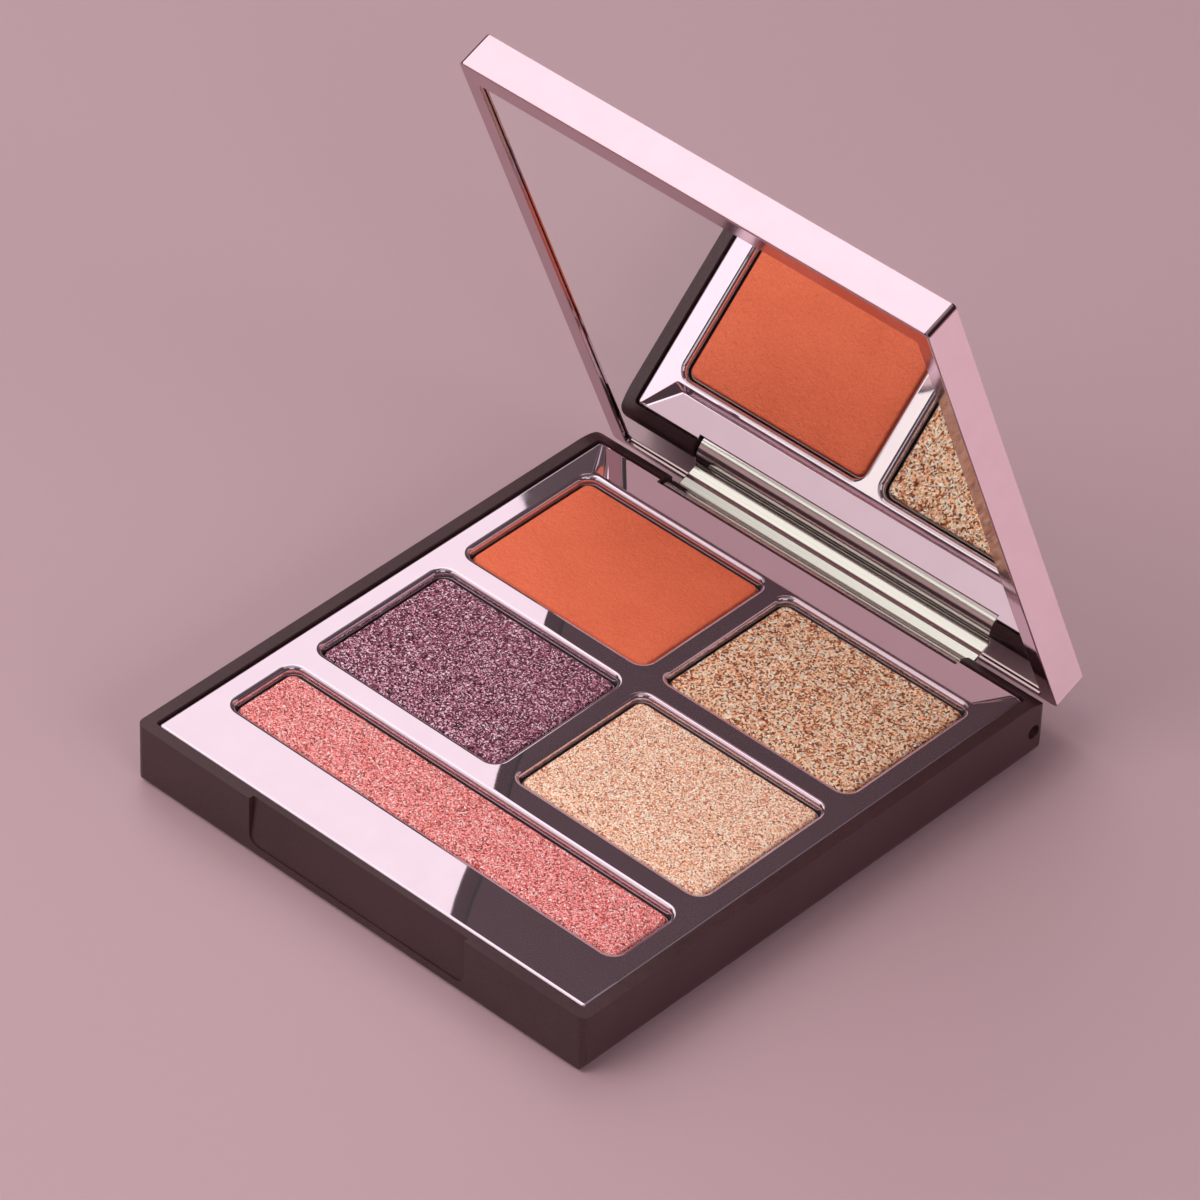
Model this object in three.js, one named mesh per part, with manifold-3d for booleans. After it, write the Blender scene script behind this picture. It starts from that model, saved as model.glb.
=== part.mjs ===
// Eyeshadow palette: a square compact with five pressed powders, a metallised tray and a mirrored lid.
//
// Millimetres. The origin is the centre of the base's underside. +X runs along the front edge to the
// right, +Y to the hinge at the back, and +Z up. The lid is built shut, in the same frame, and then
// turned about the hinge axis.

import * as THREE from "three";
import { mergeVertices } from "three/addons/utils/BufferGeometryUtils.js";
import Module from "manifold-3d";

const wasm = await Module();
wasm.setup();

// Case
const WIDTH = 76;
const DEPTH = 83.4;
const BASE_HEIGHT = 8.8;
const FLOOR_THICKNESS = 1.0;
const RIM_WIDTH = 1.7;
const REAR_RIM_WIDTH = 2.1;
const LEDGE_WIDTH = 1.1;
const CORNER_RADIUS = 1.2;
const INNER_CORNER_RADIUS = 0.5;
const FRONT_BOTTOM_RADIUS = 0.8;
const SIDE_BOTTOM_RADIUS = 2.0;
const REAR_BOTTOM_RADIUS = 1.6;
const REAR_LEAN = 0.9;
const REAR_SHOULDER = { length: 4.4, drop: 1.6 };
const THUMB_RECESS = { width: 36.4, top_depth: 0.75, bottom_depth: 0.15, bottom: 1.7, radius: 1.4 };

// Hinge
const HINGE_Y = DEPTH / 2 - 2.2;
const HINGE_Z = 4.4;
const KNUCKLE = { radius: 3.4, length: 50.4, rear: 1.7, below: 3.1, web: 0.4, bore: 0.88 };
const KNUCKLE_GAP = 0.25;
const END_BLOCK = { front: HINGE_Y - 3.6, height: 6.3 };
const PIN = { radius: 0.8, inner_end: 18, recess: 1.1 };
const PIN_BORE_RADIUS = 0.84;
const PIN_MOUTH = { radius: 1.0, depth: 1.4 };
const OPEN_ANGLE = THREE.MathUtils.degToRad(68);

// Tray, with its wells measured on the top face
const FIT_GAP = 0.15;
const TRAY_TOP = 8.55;
const TRAY_THICKNESS = 1.15;
const WELL_WALL = 0.9;
const WELL_FLOOR_TOP = 3.9;
const WELL_FLOOR_THICKNESS = 0.8;
const WELL_RADIUS = 1.6;
const COLUMN_INNER = 1.6;
const COLUMN_OUTER = 32.5;
const FRONT_ROW = [-30.8, -19.9];
const MIDDLE_ROW = [-15.7, 6.9];
const REAR_ROW = [10.8, 33.4];
const TROUGH = { front: 34.4, step: 0.8, floor: 7.45, rear: 39.1, rear_z: 8.4 };
const TROUGH_HALF_LENGTH = { front: 31.8, rear: 35.2 };
const TRAY_NOTCH_REAR = 38.7;

// Pans and powders
const PAN_GAP = 0.2;
const PAN_WALL = 0.25;
const PAN_FLOOR = 0.4;
const PAN_BOTTOM = 4.35;
const PAN_TOP = 7.2;
const POWDER_GAP = 0.05;
const POWDER_TOP = 7.85;
const POWDER_EDGE = 0.35;
const GLUE = { bottom: 4.0, thickness: 0.25, inset: 3.0 };

// Lid, as it lies when shut
const LID_GAP = 0.15;
const LID_THICKNESS = 5.4;
const LID_FRONT_STEP = 0.6;
const LID_REAR_STEP = 1.5;
const LID_CORNER_RADIUS = 0.8;
const LID_EDGE_RADIUS = 0.4;
const LID_WALL = 1.4;
const LID_RIM = { side: 2.5, front: 3.1, rear: 1.0 };
const LID_LEDGE = 2.0;
const LID_RIB = 1.2;
const MIRROR = { recess: 0.5, thickness: 1.2, gap: 0.1 };
const TAPE = { thickness: 0.2, width: 1.5, gap: 0.1, inset: 0.3 };

// Closure magnets
const MAGNET = { radius: 2.5, x: 20, y: -35.0, base_height: 2.8, lid_height: 1.6 };
const MAGNET_SEAT = 4.4;
const MAGNET_WALL = 0.5;
const MAGNET_POCKET_GAP = 0.1;

const HALF_WIDTH = WIDTH / 2;
const FRONT = -DEPTH / 2;
const REAR = DEPTH / 2;
const RIM_INNER_X = HALF_WIDTH - RIM_WIDTH;
const RIM_INNER_FRONT = FRONT + RIM_WIDTH;
const RIM_INNER_REAR = REAR - REAR_RIM_WIDTH;
const LEDGE_INNER_X = RIM_INNER_X - LEDGE_WIDTH;
const LEDGE_TOP = TRAY_TOP - TRAY_THICKNESS - FIT_GAP;
const NOTCH_HALF_LENGTH = KNUCKLE.length / 2 + KNUCKLE_GAP;
const LID_BOTTOM = BASE_HEIGHT + LID_GAP;
const LID_TOP = LID_BOTTOM + LID_THICKNESS;
const LID_FRONT = FRONT + LID_FRONT_STEP;
const LID_REAR = REAR - LID_REAR_STEP;
const MIRROR_BOTTOM = LID_BOTTOM + MIRROR.recess;
const TAPE_BOTTOM = MIRROR_BOTTOM + MIRROR.thickness + TAPE.gap;
const LID_LEDGE_Z = TAPE_BOTTOM + TAPE.thickness + TAPE.gap;
const OVERSHOOT = 1;

const WELLS = {
  rose: { x: [-COLUMN_OUTER, COLUMN_OUTER], y: FRONT_ROW, color: 0xd7766f },
  plum: { x: [-COLUMN_OUTER, -COLUMN_INNER], y: MIDDLE_ROW, color: 0x6f4059 },
  champagne: { x: [COLUMN_INNER, COLUMN_OUTER], y: MIDDLE_ROW, color: 0xe0b088 },
  terracotta: { x: [-COLUMN_OUTER, -COLUMN_INNER], y: REAR_ROW, color: 0xcb5a38 },
  gold: { x: [COLUMN_INNER, COLUMN_OUTER], y: REAR_ROW, color: 0xb58a63 },
};

// ---- Joining and cutting ----

function toSolid(geometry) {
  const bare = geometry.clone();
  bare.deleteAttribute("normal");
  bare.deleteAttribute("uv");
  const merged = mergeVertices(bare, 1e-4);
  return new wasm.Manifold(
    new wasm.Mesh({
      numProp: 3,
      vertProperties: new Float32Array(merged.attributes.position.array),
      triVerts: new Uint32Array(merged.index.array),
    }),
  );
}

function toGeometry(solid) {
  const mesh = solid.getMesh();
  const geometry = new THREE.BufferGeometry();
  geometry.setAttribute("position", new THREE.BufferAttribute(mesh.vertProperties, 3));
  geometry.setIndex(new THREE.BufferAttribute(mesh.triVerts, 1));
  return geometry;
}

// ---- Outlines and prisms ----

function roundedRectangle([x0, x1], [y0, y1], radius) {
  const shape = new THREE.Shape();
  shape.moveTo(x0 + radius, y0);
  shape.lineTo(x1 - radius, y0);
  shape.absarc(x1 - radius, y0 + radius, radius, -Math.PI / 2, 0);
  shape.lineTo(x1, y1 - radius);
  shape.absarc(x1 - radius, y1 - radius, radius, 0, Math.PI / 2);
  shape.lineTo(x0 + radius, y1);
  shape.absarc(x0 + radius, y1 - radius, radius, Math.PI / 2, Math.PI);
  shape.lineTo(x0, y0 + radius);
  shape.absarc(x0 + radius, y0 + radius, radius, Math.PI, 1.5 * Math.PI);
  return shape;
}

// A prism on an outline in the XY plane, from z0 up to z1.
function prismZ(shape, z0, z1, curveSegments = 5) {
  const geometry = new THREE.ExtrudeGeometry(shape, { depth: z1 - z0, bevelEnabled: false, curveSegments });
  return toSolid(geometry.translate(0, 0, z0));
}

// A prism on an outline in the YZ plane, from x0 to x1.
function prismX(shape, x0, x1, curveSegments = 8) {
  const geometry = new THREE.ExtrudeGeometry(shape, { depth: x1 - x0, bevelEnabled: false, curveSegments });
  const turn = new THREE.Matrix4().set(0, 0, 1, x0, 1, 0, 0, 0, 0, 1, 0, 0, 0, 0, 0, 1);
  return toSolid(geometry.applyMatrix4(turn));
}

// A prism on an outline in the XZ plane, from y0 to y1.
function prismY(shape, y0, y1, curveSegments = 5) {
  const geometry = new THREE.ExtrudeGeometry(shape, { depth: y1 - y0, bevelEnabled: false, curveSegments });
  const turn = new THREE.Matrix4().set(1, 0, 0, 0, 0, 0, -1, y1, 0, 1, 0, 0, 0, 0, 0, 1);
  return toSolid(geometry.applyMatrix4(turn));
}

// A prism from z0 up to z1 whose top and bottom edges are rounded by edge_radius.
function softPrism(outline, z0, z1, edge_radius) {
  const geometry = new THREE.ExtrudeGeometry(outline, {
    depth: z1 - z0 - 2 * edge_radius,
    bevelThickness: edge_radius,
    bevelSize: edge_radius,
    bevelOffset: -edge_radius,
    bevelSegments: 3,
    curveSegments: 4,
  });
  return toSolid(geometry.translate(0, 0, z0 + edge_radius));
}

function box([x0, x1], [y0, y1], [z0, z1]) {
  const geometry = new THREE.BoxGeometry(x1 - x0, y1 - y0, z1 - z0);
  return toSolid(geometry.translate((x0 + x1) / 2, (y0 + y1) / 2, (z0 + z1) / 2));
}

function disc(x, y, z0, z1, radius) {
  const geometry = new THREE.CylinderGeometry(radius, radius, z1 - z0, 32);
  return toSolid(geometry.rotateX(Math.PI / 2).translate(x, y, (z0 + z1) / 2));
}

// A round bar on the hinge axis.
function axleBar(x0, x1, radius) {
  const geometry = new THREE.CylinderGeometry(radius, radius, x1 - x0, 24);
  return toSolid(geometry.rotateZ(Math.PI / 2).translate((x0 + x1) / 2, HINGE_Y, HINGE_Z));
}

function grow([low, high], amount) {
  return [low - amount, high + amount];
}

function wellOutline(well, amount) {
  return roundedRectangle(grow(well.x, amount), grow(well.y, amount), WELL_RADIUS + amount);
}

// ---- Base ----

// The base seen from its right side: a square front, and a back that is rounded over the hinge.
function baseSideProfile() {
  const shape = new THREE.Shape();
  const rear_foot = REAR - REAR_LEAN;
  const shoulder_z = BASE_HEIGHT - REAR_SHOULDER.drop;
  shape.moveTo(FRONT + FRONT_BOTTOM_RADIUS, 0);
  shape.lineTo(rear_foot - REAR_BOTTOM_RADIUS, 0);
  shape.absarc(rear_foot - REAR_BOTTOM_RADIUS, REAR_BOTTOM_RADIUS, REAR_BOTTOM_RADIUS, -Math.PI / 2, 0);
  shape.lineTo(REAR, shoulder_z);
  shape.absellipse(
    REAR - REAR_SHOULDER.length,
    shoulder_z,
    REAR_SHOULDER.length,
    REAR_SHOULDER.drop,
    0,
    Math.PI / 2,
  );
  shape.lineTo(FRONT, BASE_HEIGHT);
  shape.lineTo(FRONT, FRONT_BOTTOM_RADIUS);
  shape.absarc(
    FRONT + FRONT_BOTTOM_RADIUS,
    FRONT_BOTTOM_RADIUS,
    FRONT_BOTTOM_RADIUS,
    Math.PI,
    1.5 * Math.PI,
  );
  return shape;
}

// The base seen from the front, with its long bottom edges rounded.
function baseFrontProfile() {
  const radius = SIDE_BOTTOM_RADIUS;
  const shape = new THREE.Shape();
  shape.moveTo(-HALF_WIDTH + radius, 0);
  shape.lineTo(HALF_WIDTH - radius, 0);
  shape.absarc(HALF_WIDTH - radius, radius, radius, -Math.PI / 2, 0);
  shape.lineTo(HALF_WIDTH, BASE_HEIGHT);
  shape.lineTo(-HALF_WIDTH, BASE_HEIGHT);
  shape.lineTo(-HALF_WIDTH, radius);
  shape.absarc(-HALF_WIDTH + radius, radius, radius, Math.PI, 1.5 * Math.PI);
  return shape;
}

function baseOuterForm() {
  const plan = roundedRectangle([-HALF_WIDTH, HALF_WIDTH], [FRONT, REAR], CORNER_RADIUS);
  return prismZ(plan, 0, BASE_HEIGHT)
    .intersect(prismX(baseSideProfile(), -HALF_WIDTH, HALF_WIDTH))
    .intersect(prismY(baseFrontProfile(), FRONT, REAR));
}

// The inside of the base: a wide upper part for the tray, and a narrower one below its ledge.
function baseCavity() {
  const upper_plan = roundedRectangle(
    [-RIM_INNER_X, RIM_INNER_X],
    [RIM_INNER_FRONT, RIM_INNER_REAR],
    INNER_CORNER_RADIUS,
  );
  const upper = prismZ(upper_plan, LEDGE_TOP, BASE_HEIGHT + OVERSHOOT);
  const lower = box(
    [-LEDGE_INNER_X, LEDGE_INNER_X],
    [RIM_INNER_FRONT + LEDGE_WIDTH, END_BLOCK.front],
    [FLOOR_THICKNESS, LEDGE_TOP + OVERSHOOT],
  );
  const over_blocks = box(
    [-LEDGE_INNER_X, LEDGE_INNER_X],
    [END_BLOCK.front - OVERSHOOT, RIM_INNER_REAR],
    [END_BLOCK.height, LEDGE_TOP + OVERSHOOT],
  );
  return upper.add(lower).add(over_blocks);
}

// The gap in the back wall that the lid's knuckle turns in.
function knuckleNotch() {
  return box(
    [-NOTCH_HALF_LENGTH, NOTCH_HALF_LENGTH],
    [END_BLOCK.front - OVERSHOOT, REAR + OVERSHOOT],
    [FLOOR_THICKNESS, BASE_HEIGHT + OVERSHOOT],
  );
}

// A shallow recess in the front wall, deepest at the rim, where a thumb lifts the lid.
function thumbRecess() {
  const { width, top_depth, bottom_depth, bottom, radius } = THUMB_RECESS;
  const outline = roundedRectangle([-width / 2, width / 2], [bottom, BASE_HEIGHT + 3 * radius], radius);
  const wedge = new THREE.Shape();
  wedge.moveTo(FRONT - OVERSHOOT, 0);
  wedge.lineTo(FRONT, 0);
  wedge.lineTo(FRONT + bottom_depth, bottom);
  wedge.lineTo(FRONT + top_depth, BASE_HEIGHT);
  wedge.lineTo(FRONT + top_depth, BASE_HEIGHT + OVERSHOOT);
  wedge.lineTo(FRONT - OVERSHOOT, BASE_HEIGHT + OVERSHOOT);
  return prismY(outline, FRONT - OVERSHOOT, FRONT + top_depth + OVERSHOOT).intersect(
    prismX(wedge, -width / 2 - OVERSHOOT, width / 2 + OVERSHOOT),
  );
}

function magnetBoss(x) {
  const wall_radius = MAGNET.radius + MAGNET_POCKET_GAP + MAGNET_WALL;
  const boss = disc(x, MAGNET.y, FLOOR_THICKNESS / 2, MAGNET_SEAT + MAGNET.base_height / 2, wall_radius);
  const pocket = disc(
    x,
    MAGNET.y,
    MAGNET_SEAT,
    MAGNET_SEAT + MAGNET.base_height,
    MAGNET.radius + MAGNET_POCKET_GAP,
  );
  return boss.subtract(pocket);
}

function pinBores() {
  const through = axleBar(-HALF_WIDTH - OVERSHOOT, HALF_WIDTH + OVERSHOOT, PIN_BORE_RADIUS);
  const mouth_end = HALF_WIDTH - PIN_MOUTH.depth;
  const right = axleBar(mouth_end, HALF_WIDTH + OVERSHOOT, PIN_MOUTH.radius);
  const left = axleBar(-HALF_WIDTH - OVERSHOOT, -mouth_end, PIN_MOUTH.radius);
  return through.add(right).add(left);
}

function baseShell() {
  return baseOuterForm()
    .subtract(baseCavity())
    .subtract(knuckleNotch())
    .subtract(thumbRecess())
    .subtract(pinBores())
    .add(magnetBoss(-MAGNET.x))
    .add(magnetBoss(MAGNET.x));
}

// ---- Tray ----

// The thicker part of the tray under the trough, which reaches down between the base's ledges.
function troughUnderside() {
  const bottom = TROUGH.floor - WELL_FLOOR_THICKNESS;
  const front = TROUGH.front - WELL_WALL / 2;
  const rear = RIM_INNER_REAR - FIT_GAP;
  const shape = new THREE.Shape();
  shape.moveTo(front, TRAY_TOP - TRAY_THICKNESS / 2);
  shape.lineTo(front, bottom);
  shape.lineTo(TROUGH.front + TROUGH.step + WELL_WALL / 2, bottom);
  shape.lineTo(TROUGH.rear, TROUGH.rear_z - WELL_FLOOR_THICKNESS);
  shape.lineTo(rear, TROUGH.rear_z - WELL_FLOOR_THICKNESS);
  shape.lineTo(rear, TRAY_TOP - TRAY_THICKNESS / 2);
  const half_length = LEDGE_INNER_X - FIT_GAP;
  return prismX(shape, -half_length, half_length);
}

// The trough behind the back wells: a step down, a floor that rises towards the hinge, and ends that
// run from the corners of the wells to the corners of the tray.
function trough() {
  const profile = new THREE.Shape();
  profile.moveTo(TROUGH.front, TRAY_TOP + OVERSHOOT);
  profile.lineTo(TROUGH.front, TRAY_TOP);
  profile.lineTo(TROUGH.front + TROUGH.step, TROUGH.floor);
  profile.lineTo(TROUGH.rear, TROUGH.rear_z);
  profile.lineTo(TROUGH.rear, TRAY_TOP + OVERSHOOT);
  const half = TROUGH_HALF_LENGTH;
  const plan = new THREE.Shape();
  plan.moveTo(-half.front, TROUGH.front);
  plan.lineTo(half.front, TROUGH.front);
  plan.lineTo(half.rear, TROUGH.rear);
  plan.lineTo(-half.rear, TROUGH.rear);
  return prismX(profile, -half.rear, half.rear).intersect(prismZ(plan, 0, TRAY_TOP + OVERSHOOT));
}

function panTray() {
  const half_width = RIM_INNER_X - FIT_GAP;
  const plate = roundedRectangle(
    [-half_width, half_width],
    [RIM_INNER_FRONT + FIT_GAP, RIM_INNER_REAR - FIT_GAP],
    INNER_CORNER_RADIUS,
  );
  let tray = prismZ(plate, TRAY_TOP - TRAY_THICKNESS, TRAY_TOP).add(troughUnderside());
  for (const well of Object.values(WELLS)) {
    const cup_bottom = WELL_FLOOR_TOP - WELL_FLOOR_THICKNESS;
    tray = tray.add(prismZ(wellOutline(well, WELL_WALL), cup_bottom, TRAY_TOP - TRAY_THICKNESS / 2));
  }
  for (const well of Object.values(WELLS)) {
    tray = tray.subtract(prismZ(wellOutline(well, 0), WELL_FLOOR_TOP, TRAY_TOP + OVERSHOOT));
  }
  const knuckle_side = box(
    [-NOTCH_HALF_LENGTH, NOTCH_HALF_LENGTH],
    [TRAY_NOTCH_REAR, REAR],
    [0, TRAY_TOP + OVERSHOOT],
  );
  const knuckle_path = axleBar(-NOTCH_HALF_LENGTH, NOTCH_HALF_LENGTH, KNUCKLE.radius + KNUCKLE_GAP);
  return tray.subtract(trough()).subtract(knuckle_side).subtract(knuckle_path);
}

// ---- Pans, powders and the glue under them ----

function pan(well) {
  const outer = prismZ(wellOutline(well, -PAN_GAP), PAN_BOTTOM, PAN_TOP);
  const inside = prismZ(wellOutline(well, -PAN_GAP - PAN_WALL), PAN_BOTTOM + PAN_FLOOR, PAN_TOP + OVERSHOOT);
  return outer.subtract(inside);
}

function powder(well) {
  const outline = wellOutline(well, -PAN_GAP - PAN_WALL - POWDER_GAP);
  return softPrism(outline, PAN_BOTTOM + PAN_FLOOR + POWDER_GAP, POWDER_TOP, POWDER_EDGE);
}

function panGlue(well) {
  const outline = roundedRectangle(grow(well.x, -GLUE.inset), grow(well.y, -GLUE.inset), WELL_RADIUS);
  return prismZ(outline, GLUE.bottom, GLUE.bottom + GLUE.thickness);
}

// ---- Hinge pins and magnets ----

function hingePin(side) {
  const outer_end = HALF_WIDTH - PIN.recess;
  const ends = side > 0 ? [PIN.inner_end, outer_end] : [-outer_end, -PIN.inner_end];
  return axleBar(ends[0], ends[1], PIN.radius);
}

function baseMagnet(x) {
  const bottom = MAGNET_SEAT + MAGNET_POCKET_GAP;
  return disc(x, MAGNET.y, bottom, bottom + MAGNET.base_height - MAGNET_POCKET_GAP, MAGNET.radius);
}

function lidMagnet(x) {
  const bottom = LID_LEDGE_Z + MAGNET_POCKET_GAP;
  return disc(x, MAGNET.y, bottom, bottom + MAGNET.lid_height, MAGNET.radius);
}

// ---- Lid, built shut ----

const LID_X = [-HALF_WIDTH, HALF_WIDTH];
const LID_Y = [LID_FRONT, LID_REAR];
const MIRROR_X = grow(LID_X, -LID_RIM.side);
const MIRROR_Y = [LID_FRONT + LID_RIM.front, LID_REAR - LID_RIM.rear];

// The knuckle's section: round towards the tray, flat at the back of the case.
function knuckleProfile() {
  const { radius, rear, below, web } = KNUCKLE;
  const low_front = Math.sqrt(radius ** 2 - below ** 2);
  const low_rear = Math.sqrt(below ** 2 - rear ** 2);
  const shape = new THREE.Shape();
  shape.moveTo(HINGE_Y - web, MIRROR_BOTTOM - MIRROR.gap);
  shape.lineTo(HINGE_Y - web, HINGE_Z + Math.sqrt(radius ** 2 - web ** 2));
  shape.absarc(
    HINGE_Y,
    HINGE_Z,
    radius,
    Math.PI / 2 + Math.asin(web / radius),
    Math.PI + Math.asin(below / radius),
  );
  shape.lineTo(HINGE_Y - low_front, HINGE_Z - below);
  shape.lineTo(HINGE_Y, HINGE_Z - below);
  shape.absarc(HINGE_Y, HINGE_Z, below, -Math.PI / 2, -Math.asin(low_rear / below));
  shape.lineTo(HINGE_Y + rear, HINGE_Z + below);
  shape.lineTo(LID_REAR, MIRROR_BOTTOM - MIRROR.gap);
  return shape;
}

function knuckle() {
  const half_length = KNUCKLE.length / 2;
  return prismX(knuckleProfile(), -half_length, half_length, 16).subtract(
    axleBar(-half_length - OVERSHOOT, half_length + OVERSHOOT, KNUCKLE.bore),
  );
}

// The hollow behind the mirror's ledge, split by ribs that carry the mirror.
function lidHollow() {
  const inner_x = grow(MIRROR_X, -LID_LEDGE);
  const inner_y = grow(MIRROR_Y, -LID_LEDGE);
  const z = [LID_LEDGE_Z - OVERSHOOT, LID_TOP - LID_WALL];
  const middle_y = (inner_y[0] + inner_y[1]) / 2;
  const cross_rib = box([-LID_RIB / 2, LID_RIB / 2], inner_y, z);
  const long_rib = box(inner_x, [middle_y - LID_RIB / 2, middle_y + LID_RIB / 2], z);
  let hollow = box(inner_x, inner_y, z).subtract(cross_rib).subtract(long_rib);
  for (const x of [-MAGNET.x, MAGNET.x]) {
    const wall_radius = MAGNET.radius + 2 * MAGNET_WALL;
    hollow = hollow.subtract(disc(x, MAGNET.y, z[0], z[1] + OVERSHOOT, wall_radius));
  }
  return hollow;
}

function lidShell() {
  const outline = roundedRectangle(LID_X, LID_Y, LID_CORNER_RADIUS);
  const below_rim = 2 * LID_EDGE_RADIUS;
  let shell = softPrism(outline, LID_BOTTOM - below_rim, LID_TOP, LID_EDGE_RADIUS).intersect(
    box(LID_X, LID_Y, [LID_BOTTOM, LID_TOP]),
  );
  shell = shell.add(knuckle());
  const mirror_seat = roundedRectangle(MIRROR_X, MIRROR_Y, INNER_CORNER_RADIUS);
  shell = shell.subtract(prismZ(mirror_seat, MIRROR_BOTTOM, LID_LEDGE_Z));
  const opening_y = [MIRROR_Y[0], Math.min(MIRROR_Y[1], HINGE_Y - KNUCKLE.web)];
  const opening = roundedRectangle(MIRROR_X, opening_y, INNER_CORNER_RADIUS);
  shell = shell.subtract(prismZ(opening, 0, MIRROR_BOTTOM + MIRROR.gap));
  shell = shell.subtract(lidHollow());
  for (const x of [-MAGNET.x, MAGNET.x]) {
    const pocket_top = LID_LEDGE_Z + MAGNET.lid_height + 2 * MAGNET_POCKET_GAP;
    const pocket_radius = MAGNET.radius + MAGNET_POCKET_GAP;
    shell = shell.subtract(disc(x, MAGNET.y, LID_LEDGE_Z - OVERSHOOT, pocket_top, pocket_radius));
  }
  return shell;
}

function mirror() {
  const radius = INNER_CORNER_RADIUS - MIRROR.gap;
  const outline = roundedRectangle(grow(MIRROR_X, -MIRROR.gap), grow(MIRROR_Y, -MIRROR.gap), radius);
  return prismZ(outline, MIRROR_BOTTOM, MIRROR_BOTTOM + MIRROR.thickness, 2);
}

// A frame of double-sided tape between the mirror and the lid's ledge.
function mirrorTape() {
  const { inset, thickness, width } = TAPE;
  const outer = box(
    grow(MIRROR_X, -inset),
    grow(MIRROR_Y, -inset),
    [TAPE_BOTTOM, TAPE_BOTTOM + thickness],
  );
  const inner = box(grow(MIRROR_X, -inset - width), grow(MIRROR_Y, -inset - width), [0, LID_TOP]);
  return outer.subtract(inner);
}

// ---- Materials and assembly ----

function finish(color, roughness, metalness) {
  return new THREE.MeshStandardMaterial({ color, roughness, metalness });
}

function addPiece(group, name, solid, material) {
  const mesh = new THREE.Mesh(toGeometry(solid), material);
  mesh.name = name;
  group.add(mesh);
}

function baseGroup() {
  const group = new THREE.Group();
  addPiece(group, "base_shell", baseShell(), finish(0x46343a, 0.45, 0));
  addPiece(group, "pan_tray", panTray(), finish(0xc9a3ad, 0.12, 1));
  for (const [name, well] of Object.entries(WELLS)) {
    addPiece(group, `pan_${name}`, pan(well), finish(0xc8c8ca, 0.35, 1));
    addPiece(group, `pan_glue_${name}`, panGlue(well), finish(0xe8e4d8, 0.6, 0));
    addPiece(group, `powder_${name}`, powder(well), finish(well.color, 0.8, 0));
  }
  for (const [side, sign] of [
    ["left", -1],
    ["right", 1],
  ]) {
    addPiece(group, `hinge_pin_${side}`, hingePin(sign), finish(0x8f8f94, 0.3, 1));
    addPiece(group, `base_magnet_${side}`, baseMagnet(sign * MAGNET.x), finish(0xa9a9ad, 0.3, 1));
  }
  return group;
}

// The lid's pieces hang from a group on the hinge axis, so that turning the group opens the lid.
function lidGroup() {
  const shut = new THREE.Group();
  shut.position.set(0, -HINGE_Y, -HINGE_Z);
  addPiece(shut, "lid_shell", lidShell(), finish(0xe3bfc9, 0.15, 1));
  addPiece(shut, "mirror", mirror(), finish(0xf2f2f4, 0.02, 1));
  addPiece(shut, "mirror_tape", mirrorTape(), finish(0xd8d4cc, 0.7, 0));
  addPiece(shut, "lid_magnet_left", lidMagnet(-MAGNET.x), finish(0xa9a9ad, 0.3, 1));
  addPiece(shut, "lid_magnet_right", lidMagnet(MAGNET.x), finish(0xa9a9ad, 0.3, 1));
  const hinged = new THREE.Group();
  hinged.position.set(0, HINGE_Y, HINGE_Z);
  hinged.rotation.x = -OPEN_ANGLE;
  hinged.add(shut);
  return hinged;
}

const palette = new THREE.Group();
palette.add(baseGroup());
palette.add(lidGroup());

export default palette;
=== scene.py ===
"""The look of the eyeshadow palette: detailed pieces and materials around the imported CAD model.

Sizes here are in millimetres, in the CAD frame: the origin is the centre of the base's underside,
+X runs along the front edge to the right, +Y to the hinge and +Z up. Meshes are scaled to metres
as they are made. Lid pieces are built shut and then turned about the hinge axis, as in the CAD.
"""

import math

import bmesh
import bpy
from mathutils import Matrix, Vector


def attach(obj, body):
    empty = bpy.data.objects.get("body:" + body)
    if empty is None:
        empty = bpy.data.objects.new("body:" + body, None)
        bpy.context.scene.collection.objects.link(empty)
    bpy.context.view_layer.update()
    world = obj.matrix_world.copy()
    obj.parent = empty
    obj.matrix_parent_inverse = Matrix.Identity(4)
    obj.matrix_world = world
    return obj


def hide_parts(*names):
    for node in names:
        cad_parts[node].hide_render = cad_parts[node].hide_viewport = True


MM = 0.001

# Case and hinge
WIDTH = 76.0
DEPTH = 83.4
BASE_HEIGHT = 8.8
BASE_EDGE = 0.22
RIM = 1.7
REAR_RIM = 2.1
FIT_GAP = 0.15
HINGE_Y = DEPTH / 2 - 2.2
HINGE_Z = 4.4
OPEN_ANGLE = math.radians(68)
PIN_RADIUS = 0.8
PIN_ENDS = (18.0, WIDTH / 2 - 1.1)
PIN_BEVEL = 0.25
KNUCKLE_RADIUS = 3.4
KNUCKLE_BELOW = 3.1
KNUCKLE_REAR = 1.7
KNUCKLE_WEB = 0.4
KNUCKLE_HALF = 25.2
KNUCKLE_GAP = 0.25
KNUCKLE_EDGE = 0.25
KNUCKLE_BORE = 0.88

# Tray
TRAY_X = (-WIDTH / 2 + RIM + FIT_GAP, WIDTH / 2 - RIM - FIT_GAP)
TRAY_Y = (-DEPTH / 2 + RIM + FIT_GAP, DEPTH / 2 - REAR_RIM - FIT_GAP)
TRAY_TOP = 8.55
TRAY_BOTTOM = TRAY_TOP - 1.15
TRAY_CORNER = 0.6
TRAY_EDGE = 0.55
WELL_WALL = 0.9
WELL_FLOOR = 3.9
WELL_FOOT = 0.25
CUP_BOTTOM = WELL_FLOOR - 0.8
WELL_RADIUS = 1.6
WELL_LIP = 0.75
NOTCH_X = KNUCKLE_HALF + KNUCKLE_GAP
NOTCH_Y = 38.7
TROUGH_FLOOR_FRONT = (31.2, 35.1, 7.45)
TROUGH_FLOOR_REAR = (34.6, 39.1, 8.40)
TROUGH_TOP_FRONT = (32.4, 34.3)
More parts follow.
